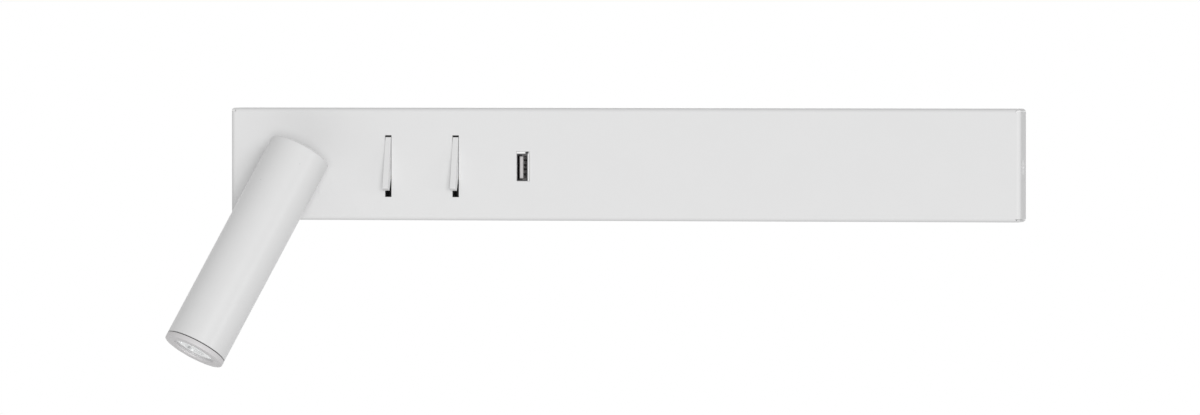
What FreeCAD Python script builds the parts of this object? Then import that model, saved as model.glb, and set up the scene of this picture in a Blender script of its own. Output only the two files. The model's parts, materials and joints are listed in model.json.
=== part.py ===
import FreeCAD, Part
import math
import os
import re
import Sketcher

# Bedside wall panel: a folded white tray that stands off the wall, with a swivelling reading spot,
# two narrow rocker switches, a charging socket and light strips that glow round its edges.
# Origin on the wall, at the centre of the two fixing slots. +X right and +Z up as seen by the user,
# who stands on the -Y side. Millimetres and degrees.

SIZES = {
    # Front tray
    "panel_length": 400,
    "panel_height": 56,
    "stand_off": 36,
    "cover_depth": 16.5,
    "cover_sheet": 1.2,
    "cover_bend": 2.2,
    "relief_radius": 0.45,
    "corner_slit": 0.25,
    "control_drop": 1,
    # Places along the tray, from its left end
    "lamp_inset": 37.7,
    "reader_inset": 80.6,
    "halo_inset": 115,
    "usb_inset": 149.3,
    # Openings in the tray
    "slot_width": 3.35,
    "slot_edge": 12.6,
    "window_width": 6.7,
    "window_height": 14.9,
    # Clearances
    "running_fit": 0.05,
    "assembly_gap": 0.3,
    # Base that is screwed to the wall
    "base_height": 40,
    "base_sheet": 1.5,
    "base_inset": 10,
    "inner_bend": 0.5,
    "joggle_set": 1,
    "ear_setback": 1.3,
    "wall_slot_spacing": 300,
    "wall_slot_length": 14,
    "wall_slot_width": 5.5,
    "cable_x": 30,
    "cable_hole_radius": 10,
    "grommet_lip": 2,
    "grommet_bore_radius": 7,
    "grommet_flange": 1.5,
    "grommet_bevel": 0.5,
    # Screws through the tray's ends
    "side_screw_radius": 2,
    "side_screw_head_radius": 3.8,
    "side_screw_length": 8,
    "side_screw_depth": 8,
    "socket_flats": 2.5,
    "socket_depth": 1.4,
    # Light channels along the base's top and bottom
    "channel_depth": 16,
    "channel_height": 6.8,
    "channel_wall": 1.2,
    "diffuser_sheet": 1.2,
    "diffuser_leg": 1.2,
    "strip_width": 10,
    "strip_board": 1,
    "led_pitch": 17,
    "led_length": 3.5,
    "led_width": 2.8,
    "led_height": 0.8,
    "rivet_spacing": 240,
    "rivet_radius": 1.5,
    "rivet_head_radius": 1.9,
    "rivet_head": 0.9,
    # Driver and terminal block on the base
    "driver_x": 80,
    "driver_length": 92,
    "driver_height": 21,
    "driver_depth": 16.5,
    "driver_ear": 8,
    "driver_ear_sheet": 2.5,
    "driver_ear_inset": 1,
    "small_screw_radius": 1.5,
    "small_screw_head_radius": 2.75,
    "small_screw_head": 1.8,
    "terminal_x": 8,
    "terminal_length": 27,
    "terminal_height": 18,
    "terminal_depth": 14,
    "terminal_pitch": 8,
    "terminal_shoulder": 8.4,
    "terminal_well": 9.8,
    "terminal_wire_radius": 1.8,
    "terminal_screw_radius": 1.6,
    "terminal_screw_length": 7.7,
    "terminal_seat": 7,
    # Studs that hold the modules to the back of the tray
    "stud_radius": 1.5,
    "stud_length": 8,
    "stud_edge": 6.5,
    "nut_flats": 5.5,
    "nut_height": 2.4,
    "module_flange": 2,
    "module_edge": 3.5,
    "module_width": 12,
    # Rocker switch
    "rocker_width": 2.8,
    "rocker_end_gap": 2,
    "rocker_front": 6.5,
    "rocker_blade": 4,
    "rocker_tilt": 16,
    "rocker_pivot_depth": 2.6,
    "rocker_corner": 0.6,
    "hub_radius": 2.2,
    "hub_shoulder": 1,
    "stem_reach": 5.5,
    "stem_half": 1.3,
    "pivot_pin_radius": 0.75,
    "case_wall": 2.2,
    "case_end": 2.3,
    "case_depth": 12,
    "case_floor": 2,
    "contact_sheet": 0.6,
    "contact_half": 5,
    "contact_width": 2.4,
    "terminal_pin_width": 1.2,
    "terminal_pin_out": 4,
    # Charging socket
    "shell_width": 5.7,
    "shell_height": 13.7,
    "shell_depth": 14,
    "shell_sheet": 0.35,
    "shell_corner": 0.5,
    "shell_shift_x": 0.4,
    "shell_shift_z": 0.5,
    "shell_recess": 0.4,
    "tongue_thickness": 1.84,
    "tongue_height": 11.1,
    "tongue_side_gap": 0.75,
    "tongue_recess": 1.6,
    "tongue_root": 3,
    "pad_width": 1,
    "pad_inner": 1,
    "pad_outer": 3.5,
    "pad_thickness": 0.2,
    "pad_setback": 1,
    "usb_case_width": 14,
    "usb_case_height": 20,
    "board_sheet": 1.6,
    "board_width": 22,
    "board_edge": 3.5,
    "board_screw_inset": 8,
    "board_screw_grip": 5,
    # Swivel
    "stem_radius": 5,
    "stem_bore_radius": 2.5,
    "stem_length": 14,
    "washer_sheet": 0.8,
    "outer_washer_radius": 7.6,
    "washer_radius": 9,
    "spring_radius": 8,
    "stop_sheet": 1,
    "stop_tab_width": 2.4,
    "stop_tab_reach": 12.5,
    "stop_pin_radius": 1,
    "stop_pin_length": 2,
    "swivel_nut_flats": 14,
    "swivel_nut_height": 3,
    "rosette_radius": 8.2,
    "rosette_height": 2.4,
    "post_radius": 6.6,
    "pivot_height": 27,
    "tongue_bar": 7,
    "tongue_bar_half": 5.5,
    "wire_exit_radius": 2.2,
    # Lamp head, measured along its own axis from the tilt pin
    "swivel_angle": 24.6,
    "tilt_angle": 19.6,
    "head_rear": 9,
    "head_front": 106.6,
    "tube_radius": 15.75,
    "tube_wall": 1.5,
    "tube_edge": 1,
    "plug_front": 11,
    "plug_recess": 0.8,
    "fork_side_gap": 0.15,
    "friction_sheet": 0.55,
    "friction_radius": 5,
    "fork_clearance": 0.4,
    "tilt_pin_radius": 2,
    "tilt_pin_half": 13.5,
    "ring_height": 2.6,
    "seam_gap": 0.3,
    "ring_spigot": 6,
    "ring_spigot_wall": 1.1,
    "ring_bevel": 0.5,
    "aperture_radius": 10.75,
    "lens_recess": 1.1,
    "lens_flange": 1.2,
    "lens_depth": 10,
    "lens_foot_radius": 6.2,
    "lens_bore_radius": 3,
    "lens_bore_depth": 4.5,
    "led_disc": 1.5,
    "led_disc_radius": 12,
    "led_chip_radius": 2.6,
    "led_chip_top": 2.1,
    "led_chip_height": 0.9,
    "sink_length": 32,
    "sink_bore_radius": 3,
    "sink_groove_count": 10,
    "sink_groove_depth": 5,
    "sink_groove_width": 3.4,
}

doc = FreeCAD.newDocument("bedside_panel")
sheet = doc.addObject("Spreadsheet::Sheet", "Sizes")
for row, (name, size) in enumerate(SIZES.items(), start=1):
    sheet.set(f"A{row}", name)
    sheet.set(f"B{row}", str(size))
    sheet.setAlias(f"B{row}", name)
doc.recompute()

# Places that several pieces share, as formulas of the sizes
RIGHT = "(panel_length / 2)"
TOP = "(panel_height / 2)"
FACE = "stand_off"
SKIN = "(stand_off - cover_sheet)"
RIM = "(stand_off - cover_depth)"
LINE = "(0 - control_drop)"
LAMP_X = "(lamp_inset - panel_length / 2)"
READER_X = "(reader_inset - panel_length / 2)"
HALO_X = "(halo_inset - panel_length / 2)"
USB_X = "(usb_inset - panel_length / 2)"
MODULES = (READER_X, HALO_X, USB_X)
BASE_END = "(panel_length / 2 - base_inset)"
EAR = "(panel_length / 2 - cover_sheet - assembly_gap)"
SIDE_SCREW_Y = "(side_screw_depth - stand_off)"
RIVET_LINE = ("(base_height / 2 - diffuser_sheet - channel_height + channel_wall"
              " + rivet_head_radius + assembly_gap)")
SPREAD = "(panel_height / 2 - stud_edge)"
SLOT_HALF = "(panel_height / 2 - slot_edge)"
ROCKER_HALF = "(panel_height / 2 - slot_edge - rocker_end_gap)"
CASE_HALF = "(panel_height / 2 - slot_edge + assembly_gap + case_end)"
BOARD_SPREAD = "(panel_height / 2 - stud_edge - board_screw_inset)"
PIVOT_LINE = "(stand_off - rocker_pivot_depth)"
CASE_REAR = "(stand_off - cover_sheet - case_depth)"
CONTACT_SWING = "(contact_half * cos(rocker_tilt) - stem_reach * sin(rocker_tilt))"
CONTACT_DEPTH = "((stem_reach + contact_sheet) * cos(rocker_tilt) + contact_half * sin(rocker_tilt))"
SHELL_FRONT = "(stand_off - shell_recess)"
SHELL_REAR = "(stand_off - shell_recess - shell_depth)"
TUBE_BORE = "(tube_radius - tube_wall)"
FORK_HALF = "(tongue_bar / 2 + friction_sheet + fork_side_gap)"
FORK_REACH = "(tongue_bar_half + fork_clearance)"
POST_HEIGHT = "(pivot_height - hypot(head_rear; tube_radius) - assembly_gap)"
RING_REAR = "(head_front - ring_height)"
LENS_FRONT = "(head_front - lens_recess)"
LENS_REAR = "(head_front - lens_recess - lens_depth)"
SINK_FRONT = "(head_front - lens_recess - lens_depth - led_chip_height - led_disc - 2 * running_fit)"
# How far a cut runs past the piece
OVER = "1"
WORD = re.compile(r"[a-z_]+")


def bind(formula):
    """The formula with each size's name pointing at its cell."""
    def cell(found):
        return f"Sizes.{found.group()}" if found.group() in SIZES else found.group()
    return WORD.sub(cell, formula)


def value(formula):
    return float(sheet.evalExpression(bind(formula)))


def minus(formula):
    return f"(0 - {formula})"


def turned(x, y, z, *turns):
    """A placement formula: a place and the turns (axis, angle) that follow one another."""
    axes = {"X": "vector(1; 0; 0)", "Y": "vector(0; 1; 0)", "Z": "vector(0; 0; 1)"}
    spin = " * ".join(f"rotation({axes[axis]}; {angle})" for axis, angle in turns)
    return bind(f"placement(vector({x}; {y}; {z}); {spin or 'rotation(vector(0; 0; 1); 0)'})")


def new_body(label, placement=None):
    body = doc.addObject("PartDesign::Body", label)
    body.Label = label
    if placement:
        body.setExpression("Placement", placement)
    return body


def sketch_on(body, role, offset="0"):
    """An empty sketch on one of the body's own planes, moved along that plane's normal."""
    sketch = body.newObject("Sketcher::SketchObject", "Outline")
    plane = next(o for o in body.Origin.OriginFeatures if o.Role == role)
    sketch.AttachmentSupport = [(plane, "")]
    sketch.MapMode = "FlatFace"
    sketch.setExpression("AttachmentOffset.Base.z", bind(offset))
    return sketch


def hold(sketch, kind, formula, *where):
    """Adds a dimension and binds it to the sheet."""
    index = sketch.addConstraint(Sketcher.Constraint(kind, *where, value(formula)))
    sketch.setExpression(f"Constraints[{index}]", bind(formula))


def hold_point(sketch, geometry, point, x, y):
    hold(sketch, "DistanceX", x, -1, 1, geometry, point)
    hold(sketch, "DistanceY", y, -1, 1, geometry, point)


def polygon(sketch, corners):
    first = sketch.GeometryCount
    spots = [FreeCAD.Vector(value(x), value(y), 0) for x, y in corners]
    for start, end in zip(spots, spots[1:] + spots[:1]):
        sketch.addGeometry(Part.LineSegment(start, end), False)
    for index, (x, y) in enumerate(corners):
        following = first + (index + 1) % len(corners)
        sketch.addConstraint(Sketcher.Constraint("Coincident", first + index, 2, following, 1))
        hold_point(sketch, first + index, 1, x, y)


def rectangle(sketch, left, right, low, high):
    polygon(sketch, [(left, low), (right, low), (right, high), (left, high)])


def block(sketch, x, y, half_width, half_height):
    rectangle(sketch, f"{x} - {half_width}", f"{x} + {half_width}",
              f"{y} - {half_height}", f"{y} + {half_height}")


def circle(sketch, x, y, radius):
    ring = Part.Circle(FreeCAD.Vector(value(x), value(y), 0), FreeCAD.Vector(0, 0, 1), value(radius))
    index = sketch.addGeometry(ring, False)
    hold_point(sketch, index, 3, x, y)
    hold(sketch, "Radius", radius, index)


def hexagon(sketch, x, y, flats):
    """A nut's outline with its flats above and below the centre."""
    half = f"({flats} / 2)"
    quarter = f"({flats} / 2 * tan(30))"
    corner = f"({flats} / 2 / cos(30))"
    points = [(corner, "0"), (quarter, half), (minus(quarter), half),
              (minus(corner), "0"), (minus(quarter), minus(half)), (quarter, minus(half))]
    polygon(sketch, [(f"{x} + {dx}", f"{y} + {dy}") for dx, dy in points])


def obround(sketch, start, end, radius, along_x=True):
    """A slot's outline between two centres on a line along x or y, the lower coordinate first."""
    turn = 0 if along_x else 90
    up = FreeCAD.Vector(0, 0, 1)
    size = value(radius)
    centres = [FreeCAD.Vector(value(x), value(y), 0) for x, y in (start, end)]
    normal = FreeCAD.Vector(0, size, 0) if along_x else FreeCAD.Vector(-size, 0, 0)
    quarter = math.pi / 2
    lean = quarter * turn / 90
    first = sketch.addGeometry(
        Part.ArcOfCircle(Part.Circle(centres[0], up, size), lean + quarter, lean + 3 * quarter), False)
    sketch.addGeometry(Part.LineSegment(centres[0] - normal, centres[1] - normal), False)
    sketch.addGeometry(
        Part.ArcOfCircle(Part.Circle(centres[1], up, size), lean + 3 * quarter, lean + 5 * quarter), False)
    sketch.addGeometry(Part.LineSegment(centres[1] + normal, centres[0] + normal), False)
    for step in range(4):
        following = first + (step + 1) % 4
        sketch.addConstraint(Sketcher.Constraint("Tangent", first + step, 2, following, 1))
    sketch.addConstraint(Sketcher.Constraint("Equal", first, first + 2))
    hold_point(sketch, first, 3, *start)
    hold_point(sketch, first + 2, 3, *end)
    hold(sketch, "Radius", radius, first)


def settle(body, feature, removes=False, before=0.0):
    """Recomputes and stops if the feature failed or changed nothing."""
    doc.recompute()
    volume = feature.Shape.Volume
    if "Invalid" in feature.State or feature.Shape.isNull():
        raise RuntimeError(f"{body.Label}: {feature.Name} failed")
    if removes and not volume < before - 1e-4:
        raise RuntimeError(f"{body.Label}: {feature.Name} cut nothing")
    return feature


def pad(body, sketch, length, reverse=False, both_sides=False):
    feature = body.newObject("PartDesign::Pad", "Pad")
    feature.Profile = sketch
    feature.setExpression("Length", bind(length))
    feature.Reversed = reverse
    feature.Midplane = both_sides
    return settle(body, feature)


def pocket(body, sketch, length, reverse=False, both_sides=False):
    before = body.Tip.Shape.Volume
    feature = body.newObject("PartDesign::Pocket", "Pocket")
    feature.Profile = sketch
    feature.setExpression("Length", bind(length))
    feature.Reversed = reverse
    feature.Midplane = both_sides
    return settle(body, feature, True, before)


def turn_about(body, sketch, axis="V_Axis"):
    feature = body.newObject("PartDesign::Revolution", "Revolution")
    feature.Profile = sketch
    feature.ReferenceAxis = (sketch, [axis])
    feature.Angle = 360
    return settle(body, feature)


def drill(body, placement, radius, length, mouth_radius=None):
    """Cuts a round hole, or a cone where the mouth has a radius of its own."""
    before = body.Tip.Shape.Volume
    if mouth_radius is None:
        tool = body.newObject("PartDesign::SubtractiveCylinder", "Hole")
        tool.setExpression("Radius", bind(radius))
    else:
        tool = body.newObject("PartDesign::SubtractiveCone", "Countersink")
        tool.setExpression("Radius1", bind(radius))
        tool.setExpression("Radius2", bind(mouth_radius))
    tool.setExpression("Height", bind(length))
    tool.setExpression("Placement", placement)
    return settle(body, tool, True, before)


def soften(body, radius, chosen, kind="Fillet"):
    """Rounds or bevels the edges that the test picks."""
    base = body.Tip
    names = [f"Edge{i}" for i, edge in enumerate(base.Shape.Edges, start=1) if chosen(edge)]
    if not names:
        raise RuntimeError(f"{body.Label}: no edge to soften")
    feature = body.newObject(f"PartDesign::{kind}", kind)
    feature.Base = (base, names)
    feature.setExpression("Radius" if kind == "Fillet" else "Size", bind(radius))
    return settle(body, feature)


def near(one, other):
    return abs(one - other) < 1e-4


def lies_at(edge, **coordinates):
    """True where every point that bounds the edge has the given coordinates."""
    box = edge.BoundBox
    spans = {"x": (box.XMin, box.XMax), "y": (box.YMin, box.YMax), "z": (box.ZMin, box.ZMax)}
    return all(near(low, coordinates[axis]) and near(high, coordinates[axis])
               for axis, (low, high) in spans.items() if axis in coordinates)


def front_cover():
    """Folded tray, open at the back, with its corners relieved and left as fine slits."""
    body = new_body("front_cover")
    outline = sketch_on(body, "XZ_Plane", RIM)
    block(outline, "0", "0", RIGHT, TOP)
    pad(body, outline, "cover_depth")
    soften(body, "cover_bend", lambda edge: lies_at(edge, y=-value(FACE)))
    inside = sketch_on(body, "XZ_Plane", RIM)
    block(inside, "0", "0", f"({RIGHT} - cover_sheet)", f"({TOP} - cover_sheet)")
    pocket(body, inside, "cover_depth - cover_sheet", reverse=True)
    soften(body, "cover_bend - cover_sheet", lambda edge: lies_at(edge, y=-value(SKIN)))
    openings = sketch_on(body, "XZ_Plane", FACE)
    for x in (READER_X, HALO_X):
        block(openings, x, LINE, "slot_width / 2", SLOT_HALF)
    block(openings, USB_X, LINE, "window_width / 2", "window_height / 2")
    circle(openings, LAMP_X, LINE, "stem_radius + running_fit")
    for x in ("1", "-1"):
        for z in ("1", "-1"):
            circle(openings, f"{x} * ({RIGHT} - cover_bend)",
                   f"{z} * ({TOP} - cover_sheet - corner_slit / 2)", "relief_radius")
    pocket(body, openings, "cover_bend")
    slits = sketch_on(body, "XZ_Plane", FACE)
    for x in ("1", "-1"):
        for z in ("1", "-1"):
            rectangle(slits, f"{x} * ({RIGHT} - cover_bend)", f"{x} * ({RIGHT} + {OVER})",
                      f"{z} * ({TOP} - cover_sheet - corner_slit)", f"{z} * ({TOP} - cover_sheet)")
    pocket(body, slits, "cover_depth")
    for side, angle in (("1", "90"), ("-1", "-90")):
        narrow = "side_screw_head_radius + running_fit - cover_sheet"
        place = turned(f"{side} * ({RIGHT} - cover_sheet)", SIDE_SCREW_Y, LINE, ("Y", angle))
        drill(body, place, narrow, "cover_sheet", "side_screw_head_radius + running_fit")


def wall_base():
    """Folded steel channel: a back plate, two end walls and joggled ears that enter the tray."""
    body = new_body("wall_base")
    half = [
        (BASE_END, "0"),
        (BASE_END, f"(0 - {RIM} - joggle_set)"),
        (EAR, f"(0 - {RIM} - joggle_set)"),
        (EAR, "(ear_setback - stand_off + cover_sheet)"),
        (f"({EAR} - base_sheet)", "(ear_setback - stand_off + cover_sheet)"),
        (f"({EAR} - base_sheet)", f"(0 - {RIM} - joggle_set - base_sheet)"),
        (f"({BASE_END} - base_sheet)", f"(0 - {RIM} - joggle_set - base_sheet)"),
        (f"({BASE_END} - base_sheet)", "(0 - base_sheet)"),
    ]
    other = [(minus(x), y) for x, y in reversed(half)]
    outline = sketch_on(body, "XY_Plane")
    polygon(outline, half + other)
    pad(body, outline, "base_height", both_sides=True)
    outer = [half[0], half[2], half[6]]
    inner = [half[1], half[5], half[7]]
    for corners, radius in ((outer, "inner_bend + base_sheet"), (inner, "inner_bend")):
        spots = [(value(x), value(y)) for x, y in corners]
        soften(body, radius, lambda edge: any(
            lies_at(edge, x=side * x, y=y) for x, y in spots for side in (1, -1)))
    holes = sketch_on(body, "XZ_Plane")
    for side in ("1", "-1"):
        middle = f"{side} * wall_slot_spacing / 2"
        reach = "(wall_slot_length - wall_slot_width) / 2"
        obround(holes, (f"{middle} - {reach}", "0"), (f"{middle} + {reach}", "0"), "wall_slot_width / 2")
        circle(holes, f"driver_x + {side} * (driver_length + driver_ear) / 2", "0",
               "small_screw_radius + running_fit")
        for level in ("1", "-1"):
            circle(holes, f"{side} * rivet_spacing / 2", f"{level} * {RIVET_LINE}",
                   "rivet_radius + running_fit")
    circle(holes, "0 - cable_x", "0", "cable_hole_radius")
    circle(holes, "terminal_x", "0", "small_screw_radius + running_fit")
    pocket(body, holes, "base_sheet", reverse=True)
    for side, angle in (("1", "90"), ("-1", "-90")):
        place = turned(f"{side} * ({EAR} - base_sheet)", SIDE_SCREW_Y, LINE, ("Y", angle))
        drill(body, place, "side_screw_radius + running_fit", "base_sheet")
        depth = "side_screw_head_radius - cover_sheet - assembly_gap - side_screw_radius"
        place = turned(f"{side} * ({EAR} - ({depth}))", SIDE_SCREW_Y, LINE, ("Y", angle))
        drill(body, place, "side_screw_radius + running_fit", depth,
              "side_screw_head_radius + running_fit - cover_sheet - assembly_gap")


def cable_grommet():
    """Rubber bush whose spigot fills the cable hole, with a bevelled flange inside."""
    body = new_body("cable_grommet", turned("0 - cable_x", "0", "0", ("X", "90")))
    outline = sketch_on(body, "XZ_Plane")
    polygon(outline, [
        ("grommet_bore_radius", "0"),
        ("cable_hole_radius - running_fit", "0"),
        ("cable_hole_radius - running_fit", "base_sheet"),
        ("cable_hole_radius + grommet_lip", "base_sheet"),
        ("cable_hole_radius + grommet_lip", "base_sheet + grommet_flange - grommet_bevel"),
        ("cable_hole_radius + grommet_lip - grommet_bevel", "base_sheet + grommet_flange"),
        ("grommet_bore_radius", "base_sheet + grommet_flange"),
    ])
    turn_about(body, outline)


def side_screws():
    """One countersunk screw through each end of the tray, with a hexagon socket."""
    body = new_body("side_screws", turned("0", SIDE_SCREW_Y, LINE, ("Y", "90")))
    outline = sketch_on(body, "XZ_Plane")
    cone = "(side_screw_head_radius - side_screw_radius)"
    polygon(outline, [
        ("0", f"{RIGHT} - side_screw_length"),
        ("side_screw_radius", f"{RIGHT} - side_screw_length"),
        ("side_screw_radius", f"{RIGHT} - {cone}"),
        ("side_screw_head_radius", RIGHT),
        ("0", RIGHT),
    ])
    shank = turn_about(body, outline)
    socket = sketch_on(body, "XY_Plane", RIGHT)
    hexagon(socket, "0", "0", "socket_flats")
    recess = pocket(body, socket, "socket_depth")
    mirrored = body.newObject("PartDesign::Mirrored", "Mirrored")
    mirrored.Originals = [shank, recess]
    mirrored.MirrorPlane = (next(o for o in body.Origin.OriginFeatures if o.Role == "XY_Plane"), [""])
    body.Tip = mirrored
    settle(body, mirrored)


def channel_level(level, rise):
    """Height of a place in a light channel, counted from the channel's floor towards the light."""
    return f"{level} * (base_height / 2 - diffuser_sheet - channel_height + {rise})"


def light_channel(name, level):
    """An aluminium channel with its diffuser and its row of diodes, on the base's edge."""
    inner_length = f"({BASE_END} - base_sheet - inner_bend - assembly_gap)"
    front = "(0 - base_sheet - channel_depth)"
    body = new_body(f"{name}_channel")
    outline = sketch_on(body, "YZ_Plane")
    polygon(outline, [
        ("0 - base_sheet", channel_level(level, "0")),
        ("0 - base_sheet", channel_level(level, "channel_height")),
        ("0 - base_sheet - channel_wall", channel_level(level, "channel_height")),
        ("0 - base_sheet - channel_wall", channel_level(level, "channel_wall")),
        (f"{front} + channel_wall", channel_level(level, "channel_wall")),
        (f"{front} + channel_wall", channel_level(level, "channel_height")),
        (front, channel_level(level, "channel_height")),
        (front, channel_level(level, "0")),
    ])
    pad(body, outline, f"2 * {inner_length}", both_sides=True)
    for side in ("1", "-1"):
        place = turned(f"{side} * rivet_spacing / 2", "0 - base_sheet", f"{level} * {RIVET_LINE}",
                       ("X", "90"))
        drill(body, place, "rivet_radius + running_fit", "channel_wall")

    body = new_body(f"{name}_diffuser")
    outline = sketch_on(body, "YZ_Plane")
    leg = "(channel_wall + running_fit)"
    polygon(outline, [
        ("0 - base_sheet", channel_level(level, "channel_height")),
        ("0 - base_sheet", channel_level(level, "channel_height + diffuser_sheet")),
        (front, channel_level(level, "channel_height + diffuser_sheet")),
        (front, channel_level(level, "channel_height")),
        (f"{front} + {leg}", channel_level(level, "channel_height")),
        (f"{front} + {leg}", channel_level(level, "channel_height - diffuser_leg")),
        (f"{front} + {leg} + diffuser_leg", channel_level(level, "channel_height - diffuser_leg")),
        (f"{front} + {leg} + diffuser_leg", channel_level(level, "channel_height")),
        (f"0 - base_sheet - {leg} - diffuser_leg", channel_level(level, "channel_height")),
        (f"0 - base_sheet - {leg} - diffuser_leg", channel_level(level, "channel_height - diffuser_leg")),
        (f"0 - base_sheet - {leg}", channel_level(level, "channel_height - diffuser_leg")),
        (f"0 - base_sheet - {leg}", channel_level(level, "channel_height")),
    ])
    pad(body, outline, f"2 * {inner_length}", both_sides=True)

    body = new_body(f"{name}_led_strip")
    middle = "(0 - base_sheet - channel_depth / 2)"
    outline = sketch_on(body, "YZ_Plane")
    rectangle(outline, f"{middle} - strip_width / 2", f"{middle} + strip_width / 2",
              channel_level(level, "channel_wall"), channel_level(level, "channel_wall + strip_board"))
    pad(body, outline, f"2 * ({inner_length} - assembly_gap)", both_sides=True)
    count = int(value(f"2 * ({inner_length} - led_length) / led_pitch")) + 1
    diode = sketch_on(body, "YZ_Plane", f"0 - {count - 1} * led_pitch / 2 - led_length / 2")
    rectangle(diode, f"{middle} - led_width / 2", f"{middle} + led_width / 2",
              channel_level(level, "channel_wall + strip_board"),
              channel_level(level, "channel_wall + strip_board + led_height"))
    first = pad(body, diode, "led_length")
    row = body.newObject("PartDesign::LinearPattern", "LinearPattern")
    row.Originals = [first]
    row.Direction = (next(o for o in body.Origin.OriginFeatures if o.Role == "X_Axis"), [""])
    row.setExpression("Length", bind(f"{count - 1} * led_pitch"))
    row.Occurrences = count
    body.Tip = row
    settle(body, row)


def channel_rivets():
    """Rivets that hold the two channels to the back plate, flush with the wall side."""
    body = new_body("channel_rivets")
    for radius, start, length in (
        ("rivet_radius", "0", "base_sheet + channel_wall"),
        ("rivet_head_radius", "base_sheet + channel_wall", "rivet_head"),
    ):
        rows = sketch_on(body, "XZ_Plane", start)
        for side in ("1", "-1"):
            for level in ("1", "-1"):
                circle(rows, f"{side} * rivet_spacing / 2", f"{level} * {RIVET_LINE}", radius)
        pad(body, rows, length)


def led_driver():
    """Sealed converter case with an ear at each end."""
    body = new_body("led_driver")
    outline = sketch_on(body, "XZ_Plane", "base_sheet")
    block(outline, "driver_x", "0", "driver_length / 2 + driver_ear",
          "driver_height / 2 - driver_ear_inset")
    pad(body, outline, "driver_ear_sheet")
    case = sketch_on(body, "XZ_Plane", "base_sheet")
    block(case, "driver_x", "0", "driver_length / 2", "driver_height / 2")
    pad(body, case, "driver_depth")
    front = -value("base_sheet + driver_depth")
    soften(body, "driver_ear_sheet / 2", lambda edge: lies_at(edge, y=front))
    holes = sketch_on(body, "XZ_Plane", "base_sheet + driver_ear_sheet")
    for side in ("1", "-1"):
        circle(holes, f"driver_x + {side} * (driver_length + driver_ear) / 2", "0",
               "small_screw_radius + running_fit")
    pocket(body, holes, "driver_ear_sheet")


def pan_screws(name, spots, seat, length, from_behind=False):
    """Pan head screws whose heads bear on a seat: shanks towards the wall, or towards the user."""
    body = new_body(name)
    shanks = sketch_on(body, "XZ_Plane", seat)
    for x, z in spots:
        circle(shanks, x, z, "small_screw_radius")
    pad(body, shanks, length, reverse=not from_behind)
    heads = sketch_on(body, "XZ_Plane", seat)
    for x, z in spots:
        circle(heads, x, z, "small_screw_head_radius")
    pad(body, heads, "small_screw_head", reverse=from_behind)
    top = -value(f"{seat} - small_screw_head" if from_behind else f"{seat} + small_screw_head")
    soften(body, "small_screw_head / 3", lambda edge: lies_at(edge, y=top), "Chamfer")


def terminal_block():
    """Three-way terminal block: a stepped bar with wire mouths below and screw wells in front."""
    body = new_body("terminal_block")
    outline = sketch_on(body, "YZ_Plane", "terminal_x")
    polygon(outline, [
        ("0 - base_sheet", "0 - terminal_height / 2"),
        ("0 - base_sheet - terminal_shoulder", "0 - terminal_height / 2"),
        ("0 - base_sheet - terminal_depth", "0 - terminal_height / 4"),
        ("0 - base_sheet - terminal_depth", "terminal_height / 4"),
        ("0 - base_sheet - terminal_shoulder", "terminal_height / 2"),
        ("0 - base_sheet", "terminal_height / 2"),
    ])
    pad(body, outline, "terminal_length", both_sides=True)
    wells = sketch_on(body, "XZ_Plane", "base_sheet + terminal_depth")
    for way in ("-1", "1"):
        circle(wells, f"terminal_x + {way} * terminal_pitch", "0", "terminal_screw_radius + assembly_gap")
    pocket(body, wells, "terminal_well")
    fixing = sketch_on(body, "XZ_Plane", "base_sheet + terminal_depth")
    circle(fixing, "terminal_x", "0", "small_screw_head_radius + assembly_gap")
    pocket(body, fixing, "terminal_depth - terminal_seat")
    bore = sketch_on(body, "XZ_Plane", "base_sheet + terminal_seat")
    circle(bore, "terminal_x", "0", "small_screw_radius + running_fit")
    pocket(body, bore, "terminal_seat")
    mouths = sketch_on(body, "XY_Plane", "terminal_height / 2")
    for way in ("-1", "1"):
        circle(mouths, f"terminal_x + {way} * terminal_pitch", "0 - base_sheet - terminal_shoulder / 2",
               "terminal_wire_radius")
    pocket(body, mouths, "terminal_height")


def terminal_screws():
    body = new_body("terminal_screws")
    rows = sketch_on(body, "XZ_Plane", "base_sheet + terminal_depth - terminal_well")
    for way in ("-1", "1"):
        circle(rows, f"terminal_x + {way} * terminal_pitch", "0", "terminal_screw_radius")
    pad(body, rows, "terminal_screw_length")


def module_studs():
    """Studs welded behind the tray and the nuts that hold the three modules on them."""
    spots = [(x, f"{LINE} + {side} * {SPREAD}") for x in MODULES for side in ("1", "-1")]
    body = new_body("cover_studs")
    rows = sketch_on(body, "XZ_Plane", SKIN)
    for x, z in spots:
        circle(rows, x, z, "stud_radius")
    pad(body, rows, "stud_length", reverse=True)
    body = new_body("module_nuts")
    rows = sketch_on(body, "XZ_Plane", f"{SKIN} - module_flange")
    for x, z in spots:
        hexagon(rows, x, z, "nut_flats")
        circle(rows, x, z, "stud_radius + running_fit")
    pad(body, rows, "nut_height", reverse=True)


def module_plate(body, x, width):
    """The flange that seats behind the tray, with a hole for the stud at each end."""
    plate = sketch_on(body, "XZ_Plane", SKIN)
    block(plate, x, LINE, f"{width} / 2", "(panel_height / 2 - module_edge)")
    for side in ("1", "-1"):
        circle(plate, x, f"{LINE} + {side} * {SPREAD}", "stud_radius + running_fit")
    pad(body, plate, "module_flange", reverse=True)


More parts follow.
